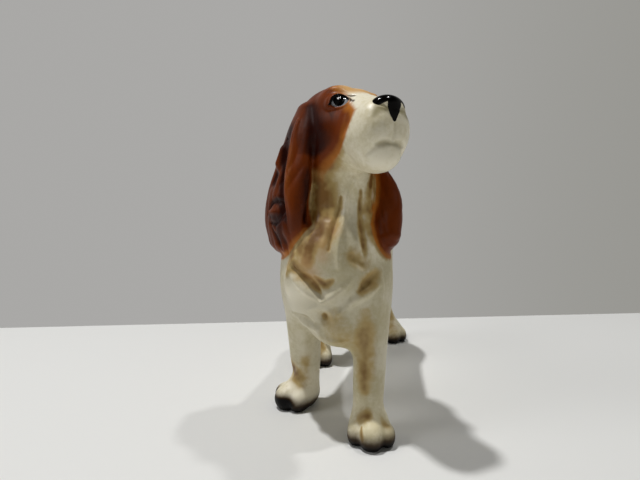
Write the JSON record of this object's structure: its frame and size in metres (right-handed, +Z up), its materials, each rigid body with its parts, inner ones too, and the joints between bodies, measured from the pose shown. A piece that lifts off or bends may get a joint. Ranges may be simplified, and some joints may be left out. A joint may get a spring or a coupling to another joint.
{
  "type": "ceramic dog figurine",
  "caption": "Glazed ceramic spaniel standing on four flat-soled paws, with a hollow torso and head, long hanging ears and its head turned to its left.",
  "frame": {"origin": "On the table, under the middle of the dog's overall box.", "axes": "+Z up, the dog faces -Y, and its left side is +X"},
  "size_m": [0.0652, 0.1614, 0.1492],
  "materials": {
    "cream_glaze": "satin",
    "chestnut_glaze": "satin"
  },
  "bodies": {
    "root": {"torso": "cream_glaze", "head": "chestnut_glaze", "right_ear": "chestnut_glaze", "left_ear": "chestnut_glaze", "front_left_leg": "cream_glaze", "front_right_leg": "cream_glaze", "back_left_leg": "cream_glaze", "back_right_leg": "cream_glaze", "tail": "chestnut_glaze"}
  },
  "joints": []
}
